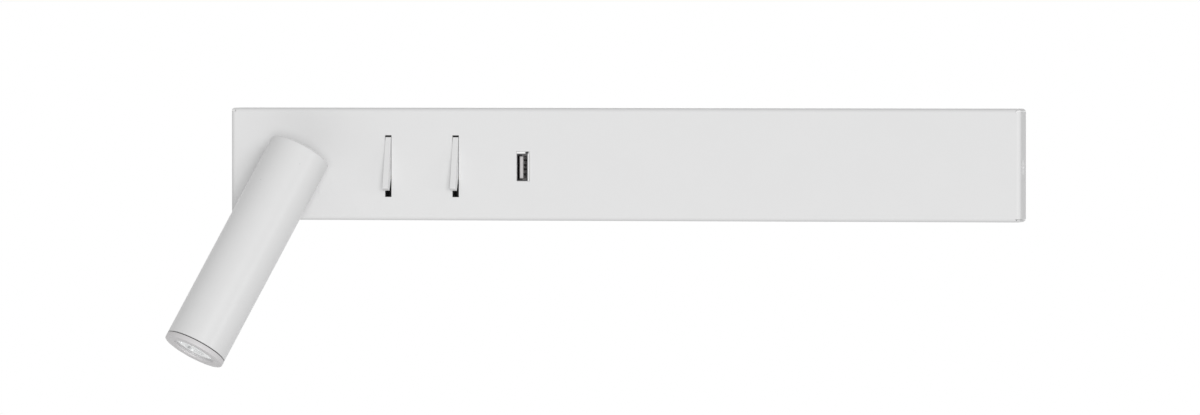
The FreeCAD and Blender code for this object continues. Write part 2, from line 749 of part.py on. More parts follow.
def rocker_switch(name, x):
    """A two-way rocker: case, blade, pivot pin, bridging contact and the pins it meets."""
    local = turned(x, minus(PIVOT_LINE), LINE, ("X", "0 - rocker_tilt"))
    cavity = "(rocker_width / 2 + assembly_gap)"

    case = new_body(f"{name}_switch_case")
    module_plate(case, x, "module_width")
    walls = sketch_on(case, "XZ_Plane", SKIN)
    block(walls, x, LINE, f"({cavity} + case_wall)", CASE_HALF)
    pad(case, walls, "case_depth", reverse=True)
    hollow = sketch_on(case, "XZ_Plane", SKIN)
    block(hollow, x, LINE, cavity, f"({SLOT_HALF} + assembly_gap)")
    pocket(case, hollow, "case_depth - case_floor")
    vents = sketch_on(case, "XZ_Plane", f"{CASE_REAR} + case_floor")
    for way in ("-1", "0", "1"):
        block(vents, x, f"{LINE} + {way} * {CONTACT_SWING}",
              "(contact_width / 2 + running_fit)", "(terminal_pin_width / 2 + running_fit)")
    pocket(case, vents, "case_floor")
    drill(case, turned(f"{x} - {cavity} - case_wall", minus(PIVOT_LINE), LINE, ("Y", "90")),
          "pivot_pin_radius + running_fit", f"2 * ({cavity} + case_wall)")

    blade = new_body(f"{name}_rocker", local)
    outline = sketch_on(blade, "YZ_Plane")
    polygon(outline, [
        ("0 - rocker_front", minus(ROCKER_HALF)),
        ("0 - rocker_front", ROCKER_HALF),
        ("rocker_blade - rocker_front", ROCKER_HALF),
        ("0", "hub_radius + hub_shoulder"),
        ("hub_radius", "stem_half"),
        ("stem_reach", "stem_half"),
        ("stem_reach", "0 - stem_half"),
        ("hub_radius", "0 - stem_half"),
        ("0", "0 - hub_radius - hub_shoulder"),
        ("rocker_blade - rocker_front", minus(ROCKER_HALF)),
    ])
    pad(blade, outline, "rocker_width", both_sides=True)
    bore = sketch_on(blade, "YZ_Plane")
    circle(bore, "0", "0", "pivot_pin_radius + running_fit")
    pocket(blade, bore, "rocker_width", both_sides=True)
    front, tip = -value("rocker_front"), value(ROCKER_HALF)
    soften(blade, "rocker_corner", lambda edge: any(lies_at(edge, y=front, z=end) for end in (tip, -tip)))

    pin = new_body(f"{name}_pivot_pin", local)
    rod = sketch_on(pin, "YZ_Plane")
    circle(rod, "0", "0", "pivot_pin_radius")
    pad(pin, rod, f"2 * ({cavity} + case_wall)", both_sides=True)

    bridge = new_body(f"{name}_contact", local)
    strip = sketch_on(bridge, "YZ_Plane")
    rectangle(strip, "stem_reach", "stem_reach + contact_sheet", "0 - contact_half", "contact_half")
    pad(bridge, strip, "contact_width", both_sides=True)

    pins = new_body(f"{name}_terminals")
    tips = f"({PIVOT_LINE} - {CONTACT_DEPTH} - running_fit * 2)"
    posts = sketch_on(pins, "XZ_Plane", tips)
    for way in ("-1", "0", "1"):
        block(posts, x, f"{LINE} + {way} * {CONTACT_SWING}", "contact_width / 2", "terminal_pin_width / 2")
    pad(pins, posts, f"({tips} - {CASE_REAR} + terminal_pin_out)", reverse=True)


def usb_case():
    """Bezel and carrier of the charging socket, behind the window."""
    body = new_body("usb_case")
    module_plate(body, USB_X, "usb_case_width")
    walls = sketch_on(body, "XZ_Plane", SKIN)
    block(walls, USB_X, LINE, "usb_case_width / 2", "usb_case_height / 2")
    pad(body, walls, f"{SKIN} - {SHELL_REAR}", reverse=True)
    for side in ("1", "-1"):
        boss = sketch_on(body, "XZ_Plane", SKIN)
        circle(boss, USB_X, f"{LINE} + {side} * {BOARD_SPREAD}", "small_screw_head_radius")
        pad(body, boss, f"{SKIN} - {SHELL_REAR}", reverse=True)
    socket = sketch_on(body, "XZ_Plane", SKIN)
    block(socket, f"({USB_X} - shell_shift_x)", f"({LINE} - shell_shift_z)",
          "(shell_width / 2 + running_fit)", "(shell_height / 2 + running_fit)")
    pocket(body, socket, f"{SKIN} - {SHELL_REAR}")
    holes = sketch_on(body, "XZ_Plane", SHELL_REAR)
    for side in ("1", "-1"):
        circle(holes, USB_X, f"{LINE} + {side} * {BOARD_SPREAD}", "small_screw_radius + running_fit")
    pocket(body, holes, "board_screw_grip + assembly_gap", reverse=True)


def usb_socket():
    """The metal shell, the tongue with its four contacts, and the board behind."""
    x, z = f"({USB_X} - shell_shift_x)", f"({LINE} - shell_shift_z)"
    shell = new_body("usb_shell")
    outline = sketch_on(shell, "XZ_Plane", SHELL_REAR)
    block(outline, x, z, "shell_width / 2", "shell_height / 2")
    pad(shell, outline, "shell_depth")
    corners = [(value(f"{x} + {a} * shell_width / 2"), value(f"{z} + {b} * shell_height / 2"))
               for a in (1, -1) for b in (1, -1)]
    soften(shell, "shell_corner", lambda edge: any(lies_at(edge, x=a, z=b) for a, b in corners))
    hollow = sketch_on(shell, "XZ_Plane", SHELL_FRONT)
    block(hollow, x, z, "(shell_width / 2 - shell_sheet)", "(shell_height / 2 - shell_sheet)")
    pocket(shell, hollow, "shell_depth")

    tongue = new_body("usb_tongue")
    left = f"({x} - shell_width / 2 + shell_sheet + tongue_side_gap)"
    root = sketch_on(tongue, "XZ_Plane", SHELL_REAR)
    block(root, x, z, "(shell_width / 2 - shell_sheet - running_fit)",
          "(shell_height / 2 - shell_sheet - running_fit)")
    pad(tongue, root, "tongue_root")
    bar = sketch_on(tongue, "XZ_Plane", SHELL_REAR)
    rectangle(bar, left, f"{left} + tongue_thickness",
              f"{z} - tongue_height / 2", f"{z} + tongue_height / 2")
    pad(tongue, bar, "shell_depth - tongue_recess")
    tip = -value(f"{SHELL_FRONT} - tongue_recess")
    soften(tongue, "tongue_thickness / 5", lambda edge: lies_at(edge, y=tip), "Chamfer")

    pads = new_body("usb_contacts")
    strips = sketch_on(pads, "XZ_Plane", f"({SHELL_REAR} + tongue_root)")
    for place in ("(0 - pad_outer)", "(0 - pad_inner)", "pad_inner", "pad_outer"):
        rectangle(strips, f"{left} + tongue_thickness", f"{left} + tongue_thickness + pad_thickness",
                  f"{z} + {place} - pad_width / 2", f"{z} + {place} + pad_width / 2")
    pad(pads, strips, "shell_depth - tongue_root - tongue_recess - pad_setback")

    board = new_body("usb_board")
    outline = sketch_on(board, "XZ_Plane", SHELL_REAR)
    block(outline, USB_X, LINE, "board_width / 2", f"({BOARD_SPREAD} + board_edge)")
    for side in ("1", "-1"):
        circle(outline, USB_X, f"{LINE} + {side} * {BOARD_SPREAD}", "small_screw_radius + running_fit")
    pad(board, outline, "board_sheet", reverse=True)


def swivel_ring(name, start, thickness, outer, placement=None):
    """A flat ring on the swivel's stem, counted from the tray's front towards the wall."""
    body = new_body(name, placement or turned(LAMP_X, minus(FACE), LINE))
    outline = sketch_on(body, "XZ_Plane", minus(start))
    circle(outline, "0", "0", outer)
    circle(outline, "0", "0", "stem_radius + running_fit")
    pad(body, outline, thickness, reverse=True)
    return body


def swivel():
    """The lamp's hollow stem through the tray, its washers, its end stop and its nut."""
    spun = turned(LAMP_X, minus(FACE), LINE, ("Y", "swivel_angle"))
    swivel_ring("outer_washer", "(0 - washer_sheet)", "washer_sheet", "outer_washer_radius")
    swivel_ring("inner_washer", "cover_sheet", "washer_sheet", "washer_radius")
    inner = "(cover_sheet + washer_sheet)"

    stop = new_body("stop_washer", spun)
    outline = sketch_on(stop, "XZ_Plane", minus(inner))
    circle(outline, "0", "0", "washer_radius")
    circle(outline, "0", "0", "stem_radius + running_fit")
    pad(stop, outline, "stop_sheet", reverse=True)
    tab = sketch_on(stop, "XZ_Plane", minus(inner))
    rectangle(tab, "0 - stop_tab_width / 2", "stop_tab_width / 2", "(stem_radius + washer_radius) / 2",
              "stop_tab_reach")
    pad(stop, tab, "stop_sheet", reverse=True)

    pin = new_body("stop_pin", turned(LAMP_X, minus(FACE), LINE))
    outline = sketch_on(pin, "XZ_Plane", "(0 - cover_sheet)")
    circle(outline, "0", "(0 - (washer_radius + stop_tab_reach) / 2)", "stop_pin_radius")
    pad(pin, outline, "stop_pin_length", reverse=True)

    swivel_ring("spring_washer", f"({inner} + stop_sheet)", "washer_sheet", "spring_radius", spun)
    nut = new_body("swivel_nut", spun)
    outline = sketch_on(nut, "XZ_Plane", f"(0 - {inner} - stop_sheet - washer_sheet)")
    hexagon(outline, "0", "0", "swivel_nut_flats")
    circle(outline, "0", "0", "stem_radius + running_fit")
    pad(nut, outline, "swivel_nut_height", reverse=True)


def lamp_arm():
    """Rosette, post and hollow stem turned in one piece, with a flat tongue for the tilt pin."""
    body = new_body("lamp_arm", turned(LAMP_X, minus(FACE), LINE, ("Y", "swivel_angle")))
    outline = sketch_on(body, "XY_Plane")
    foot = "(0 - washer_sheet)"
    polygon(outline, [
        ("0", "stem_length"),
        ("stem_radius", "stem_length"),
        ("stem_radius", foot),
        ("rosette_radius", foot),
        ("rosette_radius", f"{foot} - rosette_height"),
        ("post_radius", f"{foot} - rosette_height"),
        ("post_radius", minus(POST_HEIGHT)),
        ("0", minus(POST_HEIGHT)),
    ])
    turn_about(body, outline)
    rim = -value("washer_sheet + rosette_height")
    soften(body, "rosette_height / 3", lambda edge: lies_at(edge, y=rim)
           and near(edge.BoundBox.XMax, value("rosette_radius")), "Chamfer")
    bar = sketch_on(body, "YZ_Plane")
    obround(bar, ("0 - pivot_height", "0"), (minus(POST_HEIGHT), "0"), "tongue_bar_half")
    pad(body, bar, "tongue_bar", both_sides=True)
    wire = sketch_on(body, "XZ_Plane", "0 - stem_length")
    circle(wire, "0", "0", "stem_bore_radius")
    pocket(body, wire, f"stem_length + {POST_HEIGHT} + 3 * wire_exit_radius", reverse=True)
    middle = f"0 - {POST_HEIGHT} - 1.5 * wire_exit_radius"
    drill(body, turned("0", middle, f"0 - tongue_bar_half - {OVER}"), "wire_exit_radius",
          f"tongue_bar_half + {OVER}")
    pin = sketch_on(body, "YZ_Plane")
    circle(pin, "0 - pivot_height", "0", "tilt_pin_radius + running_fit")
    pocket(body, pin, "tongue_bar", both_sides=True)


def head_place():
    """The lamp head's frame: its z runs from the tilt pin to the lens, its x along the pin."""
    return turned(LAMP_X, "0 - stand_off - pivot_height", LINE,
                  ("Y", "(swivel_angle + 180)"), ("X", "tilt_angle"))


def ring_profile(body, corners):
    outline = sketch_on(body, "XZ_Plane")
    polygon(outline, corners)
    return turn_about(body, outline)


def lamp_tube():
    """Aluminium tube with a slot at the back of its rear end, where the arm enters."""
    body = new_body("lamp_tube", head_place())
    front = f"({RING_REAR} - seam_gap)"
    rounded = [(f"tube_radius - tube_edge * (1 - sin({turn}))",
                f"tube_edge * (1 - cos({turn})) - head_rear") for turn in (0, 30, 60, 90)]
    ring_profile(body, [(TUBE_BORE, "0 - head_rear"), *rounded, ("tube_radius", front), (TUBE_BORE, front)])
    slot = sketch_on(body, "XZ_Plane")
    rectangle(slot, minus(FORK_HALF), FORK_HALF, f"0 - head_rear - {OVER}", FORK_REACH)
    pocket(body, slot, f"tube_radius + {OVER}")


def rear_plug():
    """Round plug in the tube's rear end, slotted into a fork whose cheeks hold the tilt pin."""
    body = new_body("rear_plug", head_place())
    radius = f"({TUBE_BORE} - running_fit)"
    rear = "(plug_recess - head_rear)"
    ring_profile(body, [("0", rear), (radius, rear), (radius, "plug_front"), ("0", "plug_front")])
    fork = sketch_on(body, "YZ_Plane")
    rectangle(fork, minus(FORK_REACH), "tube_radius", f"0 - head_rear - {OVER}", FORK_REACH)
    pocket(body, fork, f"2 * {FORK_HALF}", both_sides=True)
    reach = value(FORK_REACH)
    soften(body, f"{FORK_REACH} - running_fit", lambda edge: lies_at(edge, y=-reach, z=reach))
    wire = sketch_on(body, "XY_Plane", "plug_front")
    circle(wire, "0", "0", "2 * wire_exit_radius")
    pocket(body, wire, f"plug_front - {FORK_REACH} + running_fit * 4")
    pin = sketch_on(body, "YZ_Plane")
    circle(pin, "0", "0", "tilt_pin_radius + running_fit")
    pocket(body, pin, "2 * tube_radius", both_sides=True)


def tilt_hinge():
    """The pin across the fork and the friction washer on each side of the tongue."""
    pin = new_body("tilt_pin", head_place())
    rod = sketch_on(pin, "YZ_Plane")
    circle(rod, "0", "0", "tilt_pin_radius")
    pad(pin, rod, "2 * tilt_pin_half", both_sides=True)
    washers = new_body("tilt_washers", head_place())
    for start in ("(tongue_bar / 2 + running_fit)", "(0 - tongue_bar / 2 - running_fit - friction_sheet)"):
        ring = sketch_on(washers, "YZ_Plane", start)
        circle(ring, "0", "0", "friction_radius")
        circle(ring, "0", "0", "tilt_pin_radius + running_fit")
        pad(washers, ring, "friction_sheet")


def heat_sink():
    """Aluminium slug that seats in the tube, bored for the leads and grooved along its length."""
    body = new_body("heat_sink", head_place())
    radius = f"({TUBE_BORE} - running_fit)"
    rear = f"({SINK_FRONT} - sink_length)"
    ring_profile(body, [("sink_bore_radius", rear), (radius, rear),
                        (radius, SINK_FRONT), ("sink_bore_radius", SINK_FRONT)])
    notch = sketch_on(body, "XY_Plane", SINK_FRONT)
    rectangle(notch, f"{radius} - sink_groove_depth", f"{radius} + {OVER}",
              "0 - sink_groove_width / 2", "sink_groove_width / 2")
    groove = pocket(body, notch, "sink_length")
    before = body.Tip.Shape.Volume
    ring = body.newObject("PartDesign::PolarPattern", "PolarPattern")
    ring.Originals = [groove]
    ring.Axis = (next(o for o in body.Origin.OriginFeatures if o.Role == "Z_Axis"), [""])
    ring.Angle = 360
    ring.Occurrences = SIZES["sink_groove_count"]
    body.Tip = ring
    settle(body, ring, True, before)


def light_engine():
    """The light source's disc and the collimating lens in front of it."""
    disc = new_body("led_board", head_place())
    chip = f"({SINK_FRONT} + led_disc + led_chip_height)"
    ring_profile(disc, [
        ("0", SINK_FRONT), ("led_disc_radius", SINK_FRONT),
        ("led_disc_radius", f"{SINK_FRONT} + led_disc"), ("led_chip_radius", f"{SINK_FRONT} + led_disc"),
        ("led_chip_top", chip), ("0", chip),
    ])
    lens = new_body("lens", head_place())
    rim = f"({TUBE_BORE} - ring_spigot_wall - running_fit * 3)"
    ring_profile(lens, [
        ("0", f"{LENS_REAR} + lens_bore_depth"),
        ("lens_bore_radius", f"{LENS_REAR} + lens_bore_depth"),
        ("lens_bore_radius", LENS_REAR),
        ("lens_foot_radius", LENS_REAR),
        ("aperture_radius", f"{LENS_FRONT} - lens_flange"),
        (rim, f"{LENS_FRONT} - lens_flange"),
        (rim, LENS_FRONT),
        ("0", LENS_FRONT),
    ])


def front_ring():
    """Screw-in ring that holds the lens, with a spigot in the tube and a bevelled lip."""
    body = new_body("front_ring", head_place())
    spigot = f"({TUBE_BORE} - running_fit)"
    inner = f"({TUBE_BORE} - ring_spigot_wall)"
    rear = f"({RING_REAR} - ring_spigot)"
    ring_profile(body, [
        (inner, rear), (spigot, rear), (spigot, RING_REAR), ("tube_radius", RING_REAR),
        ("tube_radius", "head_front - ring_bevel"), ("tube_radius - ring_bevel", "head_front"),
        ("aperture_radius + ring_bevel", "head_front"), ("aperture_radius", "head_front - ring_bevel"),
        ("aperture_radius", LENS_FRONT), (inner, LENS_FRONT),
    ])


front_cover()
wall_base()
cable_grommet()
side_screws()
light_channel("top", "1")
light_channel("bottom", "-1")
channel_rivets()
led_driver()
pan_screws("driver_screws", [("driver_x - (driver_length + driver_ear) / 2", "0"),
                             ("driver_x + (driver_length + driver_ear) / 2", "0")],
           "(base_sheet + driver_ear_sheet)", "driver_ear_sheet + base_sheet")
terminal_block()
terminal_screws()
pan_screws("block_screw", [("terminal_x", "0")],
           "(base_sheet + terminal_seat)", "terminal_seat + base_sheet")
module_studs()
rocker_switch("reader", READER_X)
rocker_switch("halo", HALO_X)
usb_case()
usb_socket()
pan_screws("board_screws", [(USB_X, f"{LINE} + {side} * {BOARD_SPREAD}") for side in ("1", "-1")],
           f"({SHELL_REAR} - board_sheet)", "board_sheet + board_screw_grip", from_behind=True)
swivel()
lamp_arm()
lamp_tube()
rear_plug()
tilt_hinge()
heat_sink()
light_engine()
front_ring()

doc.recompute()
pieces = [o for o in doc.Objects if o.TypeId == "PartDesign::Body"]
for item in doc.Objects:
    if "Invalid" in item.State or "Error" in item.State:
        raise RuntimeError(f"{item.Label} is in state {item.State}")
for piece in pieces:
    if piece.Shape.isNull() or not piece.Shape.isValid():
        raise RuntimeError(f"{piece.Label} has no valid shape")
os.makedirs("parts", exist_ok=True)
for piece in pieces:
    piece.Shape.exportStep(f"parts/{piece.Label}.step")
    print(piece.Label, len(piece.Shape.Solids), round(piece.Shape.Volume, 1))
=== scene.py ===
import json
import math

import bmesh
import bpy
from mathutils import Matrix, Vector


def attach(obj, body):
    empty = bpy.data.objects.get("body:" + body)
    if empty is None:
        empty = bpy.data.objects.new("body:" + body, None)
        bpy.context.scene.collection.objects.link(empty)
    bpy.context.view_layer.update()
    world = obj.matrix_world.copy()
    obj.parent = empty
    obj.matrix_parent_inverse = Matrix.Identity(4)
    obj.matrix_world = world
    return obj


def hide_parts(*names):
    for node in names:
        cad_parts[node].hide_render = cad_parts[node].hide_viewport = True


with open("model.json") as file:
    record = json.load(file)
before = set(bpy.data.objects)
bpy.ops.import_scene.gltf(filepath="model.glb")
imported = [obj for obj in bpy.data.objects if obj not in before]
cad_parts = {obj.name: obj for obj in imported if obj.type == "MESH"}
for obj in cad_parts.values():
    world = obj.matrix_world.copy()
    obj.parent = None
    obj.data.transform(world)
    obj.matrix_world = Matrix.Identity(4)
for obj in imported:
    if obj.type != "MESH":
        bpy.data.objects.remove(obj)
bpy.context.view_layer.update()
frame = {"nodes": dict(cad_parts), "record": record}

# A white bedside wall panel with a swivelling reading spot. Metres, in the part's own frame:
# the wall is at y = 0, the user stands on the -Y side, +Z is up.

MM = 0.001
NODES = frame["nodes"]
RECORD = frame["record"]
SLOT_OF = {row["node"]: row["material_slot"] for row in RECORD["subparts"]}
BODY_OF = {node: body for body, nodes in RECORD["behaviour"]["bodies"].items() for node in nodes}
JOINTS = {joint["name"]: joint for joint in RECORD["behaviour"]["joints"]}

# Camera: a long lens a little to the right of the panel and just above it
TARGET = Vector((-11.52, -36.0, -21.3)) * MM
VIEW_AZIMUTH = 11.5
VIEW_ELEVATION = 1.0
VIEW_DISTANCE = 5.0
FRAME_WIDTH = 596.4 * MM
SENSOR = 36.0

# Studio light, as shares of what a surface that faces the user gets
AMBIENT = 0.465
LIGHTS = {
    "front_box": {"share": 0.31, "azimuth": 14.0, "elevation": 0.0, "softness": 14.0},
    "key": {"share": 0.145, "azimuth": 27.0, "elevation": 6.0, "softness": 12.0},
    "low_box": {"share": 0.06, "azimuth": 10.0, "elevation": -40.0, "softness": 40.0},
    "side_box": {"share": 0.04, "azimuth": 69.0, "elevation": 0.0, "softness": 12.0},
}

# Floor, far enough down to stay out of views from below
FLOOR_LEVEL = -1.5
FLOOR_RADIUS = 0.55
FLOOR_DARK, FLOOR_LIGHT = (0.93, 0.93, 0.93), (0.95, 0.95, 0.95)

# Tube of the lamp head
LATHE_STEPS = 160
TUBE_EDGE = 1.0 * MM
TUBE_MOUTH_EDGE = 0.1 * MM
SLOT_HALF = 4.2 * MM
SLOT_REACH = 5.9 * MM

# Seam between tube and ring: as the solids have it and as it shows
CAD_SEAM = 0.3 * MM
SEAM = 0.52 * MM
SEAM_DEPTH = 1.2 * MM

# Ring, and its spigot in the tube
RING_BEVEL = 0.5 * MM
RING_REAR_BEVEL = 0.15 * MM
LENS_PLAY = 0.1 * MM
SPIGOT_WALL = 0.5 * MM
SPIGOT_PLAY = 0.05 * MM

# Lens: the dome in its face, the cup at its foot and the cone between
LENS_STEPS = 96
DOME_RADIUS = 4.2 * MM
DOME_RISE = 0.9 * MM
DOME_MOAT = 0.9 * MM
DOME_DEPTH = 1.1 * MM
CUP_RADIUS = 3.0 * MM
CUP_DEPTH = 4.5 * MM
CUP_BEVELS = (0.3 * MM, 1.1 * MM)
CONE_FOOT = 6.2 * MM
CONE_MOUTH = 10.75 * MM
FLANGE = 1.2 * MM

# Socket window in the tray, and the rim that fills it
WINDOW = (6.7 * MM, 14.9 * MM)
RIM_GAP = 0.16 * MM
SHELL_GAP = 0.06 * MM
RIM_DEPTH = 1.1 * MM
RIM_BEVEL = 0.08 * MM
SHEET_FRONT = -36.0 * MM

# Outer corners of the tray
CORNER_RADIUS = 1.8 * MM
CORNER_STEPS = 5

# Pieces that keep their node's form: the width of their rounded edges in millimetres, and exceptions
SHARP = math.radians(32)
EDGE_WIDTHS = {
    "front_cover": 0.14, "reader_rocker": 0.3, "halo_rocker": 0.3,
    "usb_shell": 0.1, "usb_tongue": 0.12, "usb_contacts": 0.05,
    "side_screws": 0.12, "lamp_arm": 0.3, "rear_plug": 0.3, "wall_base": 0.15,
    "top_diffuser": 0.12, "bottom_diffuser": 0.12, "top_channel": 0.12, "bottom_channel": 0.12,
    "led_driver": 0.25, "terminal_block": 0.25, "usb_case": 0.25,
    "swivel_nut": 0.12, "module_nuts": 0.12, "stop_washer": 0.12, "spring_washer": 0.12,
}
EDGE_SEGMENTS = {"reader_rocker": 3, "halo_rocker": 3, "usb_contacts": 1}
# The contacts take the dark socket steel in place of their own finish: painted shade inside the socket
FINISHED_AS = {"usb_contacts": "socket_steel"}

# White paint, and the specks on the tube: centre and reach in millimetres
PAINT = (0.782, 0.782, 0.783)
SPECKS = [((-174.0, -81.17, -7.21), 0.17), ((-155.08, -76.95, 0.47), 0.14)]

# Where a painted shade stands for a dark gap in the window, and how far out a side screw's face lies
SHELL_CORNER_SHADE = Vector((-48.65, -36.0, 5.95)) * MM
SCREW_FACE = 199.7 * MM


def towards(azimuth, elevation):
    """A direction: azimuth 0 is the user's side, 90 is +X."""
    turn, rise = math.radians(azimuth), math.radians(elevation)
    return Vector((math.sin(turn) * math.cos(rise), -math.cos(turn) * math.cos(rise), math.sin(rise)))


def linked(name, data):
    """An object in the scene for a mesh, camera or light."""
    thing = bpy.data.objects.new(name, data)
    bpy.context.scene.collection.objects.link(thing)
    return thing


# Materials

def node_tree(name):
    """A material, its nodes, its links and its shader."""
    material = bpy.data.materials.new(name)
    material.use_nodes = True
    tree = material.node_tree
    return material, tree.nodes, tree.links, tree.nodes["Principled BSDF"]


def parts_of(material):
    """The nodes, links and shader of a material that is already made."""
    tree = material.node_tree
    return tree.nodes, tree.links, tree.nodes["Principled BSDF"]


def place_of(nodes):
    """The piece's own coordinates, which stay on the piece as it moves."""
    return nodes.new("ShaderNodeTexCoord").outputs["Object"]


def object_noise(nodes, links, scale, detail=2.0, roughness=0.5):
    """Noise fixed to the piece."""
    noise = nodes.new("ShaderNodeTexNoise")
    noise.inputs["Scale"].default_value = scale
    noise.inputs["Detail"].default_value = detail
    noise.inputs["Roughness"].default_value = roughness
    links.new(place_of(nodes), noise.inputs["Vector"])
    return noise.outputs["Fac"]


def remapped(nodes, links, source, low, high, start=0.3, end=0.7):
    """Maps a value from start..end to low..high."""
    remap = nodes.new("ShaderNodeMapRange")
    remap.inputs["From Min"].default_value = start
    remap.inputs["From Max"].default_value = end
    remap.inputs["To Min"].default_value = low
    remap.inputs["To Max"].default_value = high
    links.new(source, remap.inputs["Value"])
    return remap.outputs["Result"]


def tint(nodes, links, source, dark, light, start=0.3, end=0.7):
    """A colour ramp between two colours."""
    ramp = nodes.new("ShaderNodeValToRGB")
    ramp.color_ramp.elements[0].position = start
    ramp.color_ramp.elements[0].color = (*dark, 1)
    ramp.color_ramp.elements[1].position = end
    ramp.color_ramp.elements[1].color = (*light, 1)
    links.new(source, ramp.inputs["Fac"])
    return ramp.outputs["Color"]


def combined(nodes, links, kind, operation, source, value=None):
    """A math or vector math node on a source, with a fixed second operand if it takes one."""
    node = nodes.new(kind)
    node.operation = operation
    links.new(source, node.inputs[0])
    if value is not None:
        node.inputs[1].default_value = value
    return node


def bumped(nodes, links, shader, height, strength, depth):
    """Relief of the stated depth on the shader."""
    bump = nodes.new("ShaderNodeBump")
    bump.inputs["Strength"].default_value = strength
    bump.inputs["Distance"].default_value = depth
    links.new(height, bump.inputs["Height"])
    links.new(bump.outputs["Normal"], shader.inputs["Normal"])


def shade(colour, factor):
    """A lighter or darker tone of a colour."""
    return tuple(channel * factor for channel in colour)


def finish_of(name, colour, roughness, grain=900.0, variation=0.03, bump=0.15, depth=0.05 * MM, metallic=0.0,
              rough_spread=0.06, specular=0.5):
    """A surface with a fine grain, slight colour variation and uneven gloss."""
    material, nodes, links, shader = node_tree(name)
    broad = object_noise(nodes, links, grain * 0.05, 3.0)
    fine = object_noise(nodes, links, grain, 2.0, 0.6)
    links.new(tint(nodes, links, broad, shade(colour, 1 - variation), shade(colour, 1 + variation)),
              shader.inputs["Base Color"])
    links.new(remapped(nodes, links, fine, roughness - rough_spread, roughness + rough_spread),
              shader.inputs["Roughness"])
    shader.inputs["Metallic"].default_value = metallic
    shader.inputs["Specular IOR Level"].default_value = specular
    bumped(nodes, links, shader, fine, bump, depth)
    return material


def darken(material, mask, colour):
    """Turns the finish to another colour where the mask is 1."""
    nodes, links, shader = parts_of(material)
    target = shader.inputs["Base Color"]
    source = target.links[0].from_socket
    mix = nodes.new("ShaderNodeMix")
    mix.data_type = "RGBA"
    links.new(mask, mix.inputs["Factor"])
    links.new(source, mix.inputs["A"])
    mix.inputs["B"].default_value = (*colour, 1)
    links.new(mix.outputs["Result"], target)


def spot_mask(material, centre, reach, stretch=(1, 1, 1)):
    """1 within reach of a place on the piece, falling to 0 just outside it."""
    nodes, links, _ = parts_of(material)
    apart = combined(nodes, links, "ShaderNodeVectorMath", "SUBTRACT", place_of(nodes), centre)
    scaled = combined(nodes, links, "ShaderNodeVectorMath", "DIVIDE", apart.outputs["Vector"], stretch)
    length = combined(nodes, links, "ShaderNodeVectorMath", "LENGTH", scaled.outputs["Vector"])
    return remapped(nodes, links, length.outputs["Value"], 1.0, 0.0, reach * 0.7, reach * 1.3)


def zinc_plate(name, colour):
    """Zinc plated sheet with faint crystals."""
    material = finish_of(name, colour, 0.36, 260, 0.05, 0.05, metallic=1.0)
    nodes, links, shader = parts_of(material)
    cells = nodes.new("ShaderNodeTexVoronoi")
    cells.inputs["Scale"].default_value = 160.0
    links.new(place_of(nodes), cells.inputs["Vector"])
    grey = nodes.new("ShaderNodeRGBToBW")
    links.new(cells.outputs["Color"], grey.inputs["Color"])
    links.new(remapped(nodes, links, grey.outputs["Val"], 0.26, 0.46), shader.inputs["Roughness"])
    links.new(tint(nodes, links, grey.outputs["Val"], shade(colour, 0.9), shade(colour, 1.1)),
              shader.inputs["Base Color"])
    return material


def clear_glass(name):
    """Clear moulding whose facets mirror the room."""
    material, nodes, links, shader = node_tree(name)
    fine = object_noise(nodes, links, 300.0)
    shader.inputs["Base Color"].default_value = (0.97, 0.98, 0.985, 1)
    shader.inputs["Transmission Weight"].default_value = 0.5
    shader.inputs["Metallic"].default_value = 0.45
    shader.inputs["IOR"].default_value = 1.49
    links.new(remapped(nodes, links, fine, 0.02, 0.07), shader.inputs["Roughness"])
    return material


def lamp_paint(name, colour):
    """Satin lacquer with two specks on the tube."""
    material = finish_of(name, colour, 0.31, 2200, 0.006, 0.06, rough_spread=0.03)
    for place, reach in SPECKS:
        mask = spot_mask(material, Vector(place) * MM, reach * MM)
        darken(material, mask, shade(colour, 0.45))
    return material


def screw_paint(name, colour):
    """White countersunk head; deeper than its face the colour is near black: painted shade of the socket's
    recess.
    """
    material = finish_of(name, colour, 0.4, 2200, 0.02, 0.1)
    nodes, links, _ = parts_of(material)
    split = nodes.new("ShaderNodeSeparateXYZ")
    links.new(place_of(nodes), split.inputs["Vector"])
    size = combined(nodes, links, "ShaderNodeMath", "ABSOLUTE", split.outputs["X"])
    # Painted shade: near black inward of the screw's face, where the socket recess lies in shade
    inside = remapped(nodes, links, size.outputs["Value"], 1.0, 0.0, SCREW_FACE - 0.2 * MM, SCREW_FACE)
    darken(material, inside, (0.04, 0.04, 0.04))
    return material


def carrier_plastic(name, colour):
    """White moulding with a near-black spot at the shell's upper right corner: painted shade standing for a
    gap.
    """
    material = finish_of(name, colour, 0.4, 1200, 0.01, 0.05)
    # Painted shade: near black where a gap beside the shell would lie in shade
    darken(material, spot_mask(material, SHELL_CORNER_SHADE, 0.8 * MM, (1.1, 2.0, 1.0)), (0.01, 0.01, 0.01))
    return material


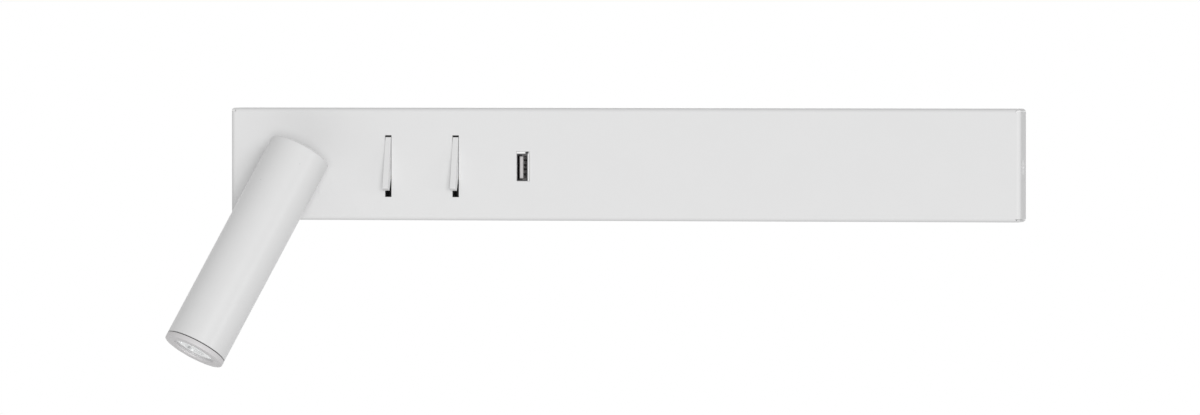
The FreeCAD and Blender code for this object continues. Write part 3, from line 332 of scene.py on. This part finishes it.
def make_materials():
    """Every finish by its name."""
    return {
        "panel_paint": finish_of("panel_paint", PAINT, 0.6, 1400, 0.004, 0.1, specular=0.35),
        "lamp_paint": lamp_paint("lamp_paint", shade(PAINT, 0.965)),
        # Darker copy of the lamp paint for the ring: painted shade for its face, which faces down and lies
        # in shadow
        "ring_painted_shade": finish_of("ring_painted_shade", (0.672, 0.658, 0.664), 0.4, 2200, 0.006, 0.06),
        "screw_paint": screw_paint("screw_paint", shade(PAINT, 1.08)),
        "zinc_steel": zinc_plate("zinc_steel", (0.52, 0.54, 0.56)),
        "hardware_steel": finish_of("hardware_steel", (0.55, 0.55, 0.56), 0.3, 1500, 0.06, 0.05,
                                    metallic=1.0),
        "bare_aluminium": finish_of("bare_aluminium", (0.72, 0.73, 0.74), 0.34, 700, 0.03, 0.06,
                                    metallic=1.0),
        "opal_plastic": finish_of("opal_plastic", (0.86, 0.86, 0.85), 0.4, 600, 0.01, 0.03),
        "white_board": finish_of("white_board", (0.82, 0.82, 0.8), 0.35, 900, 0.02, 0.05),
        "green_board": finish_of("green_board", (0.03, 0.16, 0.08), 0.3, 900, 0.15, 0.05),
        "driver_plastic": finish_of("driver_plastic", (0.74, 0.74, 0.72), 0.5, 900, 0.02, 0.12),
        "white_plastic": carrier_plastic("white_plastic", (0.94, 0.94, 0.935)),
        "rocker_plastic": finish_of("rocker_plastic", shade(PAINT, 0.965), 0.42, 1800, 0.006, 0.05),
        "tongue_plastic": finish_of("tongue_plastic", (0.62, 0.6, 0.6), 0.45, 1200, 0.02, 0.05),
        "black_plastic": finish_of("black_plastic", (0.012, 0.012, 0.013), 0.5, 1500, 0.1, 0.1),
        "black_rubber": finish_of("black_rubber", (0.02, 0.02, 0.02), 0.7, 1500, 0.1, 0.15),
        "black_metal": finish_of("black_metal", (0.05, 0.05, 0.052), 0.5, 1500, 0.06, 0.1, specular=0.4),
        "clear_nylon": finish_of("clear_nylon", (0.7, 0.69, 0.64), 0.4, 1200, 0.02, 0.05),
        "brass_parts": finish_of("brass_parts", (0.78, 0.58, 0.25), 0.28, 1500, 0.05, 0.04, metallic=1.0),
        # Socket steel far darker than plated steel: painted shade for the shell and contacts inside the
        # socket
        "socket_steel": finish_of("socket_steel", (0.13, 0.13, 0.135), 0.3, 1500, 0.08, 0.04, metallic=1.0),
        "light_source": finish_of("light_source", (0.9, 0.86, 0.6), 0.4, 1500, 0.03, 0.05),
        "lens_clear": clear_glass("lens_clear"),
    }


def dress_nodes():
    """Gives every node of the frame the finish of its slot."""
    for name, thing in NODES.items():
        thing.data.materials.clear()
        thing.data.materials.append(MATERIALS[SLOT_OF[name]])


# Pieces that stand for plain nodes

def dressed(piece, body, slot_name, *nodes):
    """Gives a piece its finish and its body, and puts it in place of the plain nodes."""
    piece.data.materials.clear()
    piece.data.materials.append(MATERIALS[slot_name])
    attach(piece, body)
    if nodes:
        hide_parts(*nodes)
    return piece


def made(name, shape):
    """A piece from a finished form."""
    mesh = bpy.data.meshes.new(name)
    shape.to_mesh(mesh)
    shape.free()
    return linked(name, mesh)


def smooth_faces(shape):
    """Smooth faces, with edges kept crisp where they are sharp."""
    for face in shape.faces:
        face.smooth = True
    for edge in shape.edges:
        edge.smooth = not (edge.is_manifold and edge.calc_face_angle(0) > SHARP)


def settled(piece):
    """The piece with its modifiers turned into mesh."""
    bpy.context.view_layer.update()
    mesh = bpy.data.meshes.new_from_object(piece.evaluated_get(bpy.context.evaluated_depsgraph_get()))
    piece.modifiers.clear()
    piece.data = mesh
    return piece


def span(node):
    """A node's least and greatest corner."""
    spots = [vertex.co for vertex in NODES[node].data.vertices]
    return (Vector([min(spot[axis] for spot in spots) for axis in range(3)]),
            Vector([max(spot[axis] for spot in spots) for axis in range(3)]))


def round_corners(shape):
    """Rounds the tray's four outer corners, as seen from the front."""
    low, high = span("front_cover")
    centre_x, centre_z = high.x - CORNER_RADIUS, high.z - CORNER_RADIUS
    for step in range(CORNER_STEPS):
        reach = CORNER_RADIUS * math.sin(math.pi / 2 * step / CORNER_STEPS)
        for way in (1, -1):
            for place, normal in (((way * (centre_x + reach), 0, 0), (1, 0, 0)),
                                  ((0, 0, way * (centre_z + reach)), (0, 0, 1))):
                geometry = shape.verts[:] + shape.edges[:] + shape.faces[:]
                bmesh.ops.bisect_plane(shape, geom=geometry, dist=1e-6, plane_co=place, plane_no=normal)
    for vertex in shape.verts:
        out_x, out_z = abs(vertex.co.x) - centre_x, abs(vertex.co.z) - centre_z
        if out_x > 0 and out_z > 0 and math.hypot(out_x, out_z) > CORNER_RADIUS:
            scale = CORNER_RADIUS / math.hypot(out_x, out_z)
            vertex.co.x = math.copysign(centre_x + out_x * scale, vertex.co.x)
            vertex.co.z = math.copysign(centre_z + out_z * scale, vertex.co.z)


def bevelled(piece, width, segments=2):
    """A bevel that rounds the piece's edges."""
    bevel = piece.modifiers.new("edges", "BEVEL")
    bevel.width = width
    bevel.segments = segments
    return bevel


def refined(node, width, segments=2, slot_name=None):
    """The node's own form with its edges rounded, as moulding, folding or turning leaves them."""
    mesh = NODES[node].data.copy()
    shape = bmesh.new()
    shape.from_mesh(mesh)
    bmesh.ops.remove_doubles(shape, verts=shape.verts, dist=1e-6)
    bmesh.ops.dissolve_limit(shape, angle_limit=math.radians(0.5), verts=shape.verts, edges=shape.edges)
    if node == "front_cover":
        round_corners(shape)
    for face in shape.faces:
        face.smooth = True
    shape.to_mesh(mesh)
    shape.free()
    piece = linked(f"{node}_finished", mesh)
    bevel = bevelled(piece, width, segments)
    bevel.limit_method = "ANGLE"
    bevel.angle_limit = SHARP
    bevel.harden_normals = True
    weighted = piece.modifiers.new("normals", "WEIGHTED_NORMAL")
    weighted.keep_sharp = True
    return dressed(settled(piece), BODY_OF[node], slot_name or SLOT_OF[node], node)


def head_frame():
    """The lamp head's own frame: z runs from the tilt pin to the lens, x along the pin."""
    hinge = JOINTS["lamp_tilt"]
    across = Vector(hinge["axis"]).normalized()
    level = Vector((-across.z, 0, across.x))
    lean = math.radians(-hinge["range_deg"][0])
    along = level * math.cos(lean) - Vector((0, 1, 0)) * math.sin(lean)
    back = along.cross(across)
    matrix = Matrix((across, back, along)).transposed().to_4x4()
    matrix.translation = Vector(hinge["pos_m"])
    return matrix


def place_on_head(piece):
    """Moves a piece from the head's frame to its place."""
    piece.data.transform(HEAD)


def extent(node):
    """A turned node's least and greatest radius and height in the head's frame."""
    into = HEAD.inverted()
    spots = [into @ vertex.co for vertex in NODES[node].data.vertices]
    radii = [math.hypot(spot.x, spot.y) for spot in spots]
    heights = [spot.z for spot in spots]
    return min(radii), max(radii), min(heights), max(heights)


def arc(radius, height, size, start, end, steps=6):
    """Points of a rounded corner about (radius, height), by angle from the radial direction."""
    turns = [math.radians(start + (end - start) * step / steps) for step in range(steps + 1)]
    return [(radius + size * math.cos(turn), height + size * math.sin(turn)) for turn in turns]


def turned(name, profile, steps=LATHE_STEPS):
    """A solid of revolution about the head's axis from a closed profile of (radius, height)."""
    shape = bmesh.new()
    turns = [2 * math.pi * step / steps for step in range(steps)]
    rings = []
    for radius, height in profile:
        if radius < 1e-7:
            rings.append([shape.verts.new((0, 0, height))] * steps)
        else:
            rings.append([shape.verts.new((radius * math.cos(turn), radius * math.sin(turn), height))
                          for turn in turns])
    for this, following in zip(rings, rings[1:] + rings[:1]):
        for step in range(steps):
            after = (step + 1) % steps
            corners = list(dict.fromkeys([this[step], this[after], following[after], following[step]]))
            if len(corners) > 2:
                shape.faces.new(corners)
    bmesh.ops.recalc_face_normals(shape, faces=shape.faces)
    smooth_faces(shape)
    return made(name, shape)


def cut_slot(tube, low, high, radius):
    """Cuts the slot that clears the arm out of one side of the tube."""
    shape = bmesh.new()
    bmesh.ops.create_cube(shape, size=1.0)
    shape.transform(Matrix.Translation((0, radius, (low + high) / 2))
                    @ Matrix.Diagonal((2 * SLOT_HALF, 2 * radius, high - low, 1)))
    cutter = made("slot_cutter", shape)
    cut = tube.modifiers.new("slot", "BOOLEAN")
    cut.operation = "DIFFERENCE"
    cut.object = cutter
    settled(tube)
    bpy.data.objects.remove(cutter)
    shape = bmesh.new()
    shape.from_mesh(tube.data)
    smooth_faces(shape)
    shape.to_mesh(tube.data)
    shape.free()


def make_tube():
    """The tube with a rounded rear edge and the slot that clears the arm."""
    bore, radius, rear, front = extent("lamp_tube")
    front -= (SEAM - CAD_SEAM) / 2
    tube = turned("lamp_tube_finished", [
        (bore, rear), *arc(radius - TUBE_EDGE, rear + TUBE_EDGE, TUBE_EDGE, -90, 0),
        (radius, front - TUBE_MOUTH_EDGE), (radius - TUBE_MOUTH_EDGE, front), (bore, front)])
    cut_slot(tube, rear - TUBE_EDGE, SLOT_REACH, radius)
    place_on_head(tube)
    dressed(tube, "lamp_head", "lamp_paint", "lamp_tube")


def make_ring():
    """The front ring, and a black band on its spigot behind the seam: painted shade that makes the seam read
    dark.
    """
    bore, radius, rear, front = extent("front_ring")
    tube_bore, _, _, tube_front = extent("lamp_tube")
    _, lens_radius, _, seat = extent("lens")
    lip_rear = tube_front + CAD_SEAM + (SEAM - CAD_SEAM) / 2
    inner = lens_radius + LENS_PLAY
    band, spigot_radius = tube_bore - SPIGOT_WALL, tube_bore - SPIGOT_PLAY
    lip = turned("front_ring_finished", [
        (radius - SEAM_DEPTH, lip_rear), (radius - RING_REAR_BEVEL, lip_rear),
        *arc(radius - RING_REAR_BEVEL, lip_rear + RING_REAR_BEVEL, RING_REAR_BEVEL, -90, 0, 3),
        *arc(radius - RING_BEVEL, front - RING_BEVEL, RING_BEVEL, 0, 90),
        *arc(bore + RING_BEVEL, front - RING_BEVEL, RING_BEVEL, 90, 180),
        (bore, seat), (inner, seat), (inner, rear), (band, rear), (band, lip_rear),
    ])
    place_on_head(lip)
    dressed(lip, "lamp_head", "lamp_paint", "front_ring")
    # The ring takes the darker paint: painted shade for its downward face
    lip.data.materials[0] = MATERIALS["ring_painted_shade"]
    # Black band behind the seam: painted shade standing for the shade in the gap
    spigot = turned("ring_spigot", [
        (band, rear), (spigot_radius, rear), (spigot_radius, lip_rear), (band, lip_rear)])
    place_on_head(spigot)
    dressed(spigot, "lamp_head", "black_metal")


def make_lens():
    """Collimator: a flat face with a small dome in its middle, a steep cone behind and a cup at its foot."""
    _, radius, rear, front = extent("lens")
    face = front - FLANGE
    bottom = rear + CUP_DEPTH
    cone = [(CONE_FOOT + (CONE_MOUTH - CONE_FOOT) * math.sin(math.pi / 2 * step / 8),
             rear + (face - rear) * step / 8) for step in range(9)]
    dome = [(DOME_RADIUS * (1 - step / 6), front - DOME_DEPTH + DOME_RISE * math.sin(math.pi / 2 * step / 6))
            for step in range(7)]
    lens = turned("lens_finished", [
        (0, bottom), (CUP_RADIUS * 0.7, bottom - CUP_BEVELS[0]), (CUP_RADIUS, bottom - CUP_BEVELS[1]),
        (CUP_RADIUS, rear), *cone, (radius, face), (radius, front), (DOME_RADIUS + DOME_MOAT, front), *dome,
    ], LENS_STEPS)
    place_on_head(lens)
    dressed(lens, "lamp_head", "lens_clear", "lens")


def make_rim():
    """The socket carrier's raised rim in the window."""
    shell_low, shell_high = span("usb_shell")
    board_low, board_high = span("usb_board")
    centre_x, centre_z = (board_low.x + board_high.x) / 2, JOINTS["reader_rock"]["pos_m"][2]
    left, right = centre_x - WINDOW[0] / 2 + RIM_GAP, centre_x + WINDOW[0] / 2 - 2 * RIM_GAP
    low, high = centre_z - WINDOW[1] / 2 + RIM_GAP, centre_z + WINDOW[1] / 2 - RIM_GAP
    outer = [(left, low), (right, low), (right, high), (left, high)]
    left, right = shell_low.x - SHELL_GAP, shell_high.x + SHELL_GAP
    low, high = shell_low.z - SHELL_GAP, shell_high.z + SHELL_GAP
    inner = [(left, low), (right, low), (right, high), (left, high)]
    shape = bmesh.new()
    levels = [SHEET_FRONT, SHEET_FRONT + RIM_DEPTH]
    outside = [[shape.verts.new((x, y, z)) for x, z in outer] for y in levels]
    inside = [[shape.verts.new((x, y, z)) for x, z in inner] for y in levels]
    for step in range(len(outer)):
        after = (step + 1) % len(outer)
        for one, other in ((outside[0], inside[0]), (outside[1], inside[1]),
                           (outside[0], outside[1]), (inside[0], inside[1])):
            shape.faces.new([one[step], one[after], other[after], other[step]])
    bmesh.ops.recalc_face_normals(shape, faces=shape.faces)
    rim = made("usb_rim", shape)
    bevelled(rim, RIM_BEVEL)
    dressed(settled(rim), "panel", "white_plastic")


def make_pieces():
    """All pieces that take the place of plain nodes or are added to them."""
    make_tube()
    make_ring()
    make_lens()
    make_rim()
    for node, width in EDGE_WIDTHS.items():
        refined(node, width * MM, EDGE_SEGMENTS.get(node, 2), FINISHED_AS.get(node))


# Camera, light and floor

def make_camera():
    """The photo's view."""
    data = bpy.data.cameras.new("camera")
    camera = linked("camera", data)
    back = towards(VIEW_AZIMUTH, VIEW_ELEVATION)
    data.sensor_width = SENSOR
    data.lens = SENSOR * VIEW_DISTANCE / FRAME_WIDTH
    data.clip_start, data.clip_end = 0.1, 50.0
    camera.location = TARGET + back * VIEW_DISTANCE
    camera.rotation_mode = "QUATERNION"
    camera.rotation_quaternion = (-back).to_track_quat("-Z", "Y")
    bpy.context.scene.camera = camera


def white_background(nodes, strength):
    """A white background of the stated strength."""
    background = nodes.new("ShaderNodeBackground")
    background.inputs["Color"].default_value = (1, 1, 1, 1)
    background.inputs["Strength"].default_value = strength
    return background.outputs["Background"]


def make_world():
    """White behind the object; on the object, even light from all round."""
    world = bpy.data.worlds.new("studio")
    bpy.context.scene.world = world
    world.use_nodes = True
    nodes, links = world.node_tree.nodes, world.node_tree.links
    nodes.clear()
    ray = nodes.new("ShaderNodeLightPath")
    seen = ray.outputs["Is Camera Ray"]
    for kind in ("Is Glossy Ray", "Is Transmission Ray"):
        either = combined(nodes, links, "ShaderNodeMath", "MAXIMUM", seen)
        links.new(ray.outputs[kind], either.inputs[1])
        seen = either.outputs["Value"]
    mix = nodes.new("ShaderNodeMixShader")
    links.new(seen, mix.inputs["Fac"])
    links.new(white_background(nodes, AMBIENT), mix.inputs[1])
    links.new(white_background(nodes, 1.0), mix.inputs[2])
    links.new(mix.outputs["Shader"], nodes.new("ShaderNodeOutputWorld").inputs["Surface"])


def make_light(name, share, azimuth, elevation, softness):
    """A distant soft light that gives a white surface facing it the stated share."""
    data = bpy.data.lights.new(name, "SUN")
    data.energy = share * math.pi
    data.angle = math.radians(softness)
    light = linked(name, data)
    light.rotation_mode = "QUATERNION"
    light.rotation_quaternion = towards(azimuth, elevation).to_track_quat("Z", "Y")


def make_floor():
    """A pale floor under the object that fades out at its rim."""
    shape = bmesh.new()
    bmesh.ops.create_circle(shape, cap_ends=True, segments=96, radius=FLOOR_RADIUS)
    floor = made("floor", shape)
    floor.location = (0, 0, FLOOR_LEVEL)
    material, nodes, links, shader = node_tree("floor")
    shader.inputs["Roughness"].default_value = 0.9
    shader.inputs["Specular IOR Level"].default_value = 0.0
    fine = object_noise(nodes, links, 30.0)
    links.new(tint(nodes, links, fine, FLOOR_DARK, FLOOR_LIGHT), shader.inputs["Base Color"])
    length = combined(nodes, links, "ShaderNodeVectorMath", "LENGTH", place_of(nodes))
    fade = remapped(nodes, links, length.outputs["Value"], 1.0, 0.0, FLOOR_RADIUS * 0.4, FLOOR_RADIUS)
    links.new(fade, shader.inputs["Alpha"])
    floor.data.materials.append(material)


bpy.context.scene.view_settings.view_transform = "Standard"
make_camera()
make_world()
for light, setting in LIGHTS.items():
    make_light(light, **setting)
make_floor()
MATERIALS = make_materials()
HEAD = head_frame()
dress_nodes()
make_pieces()
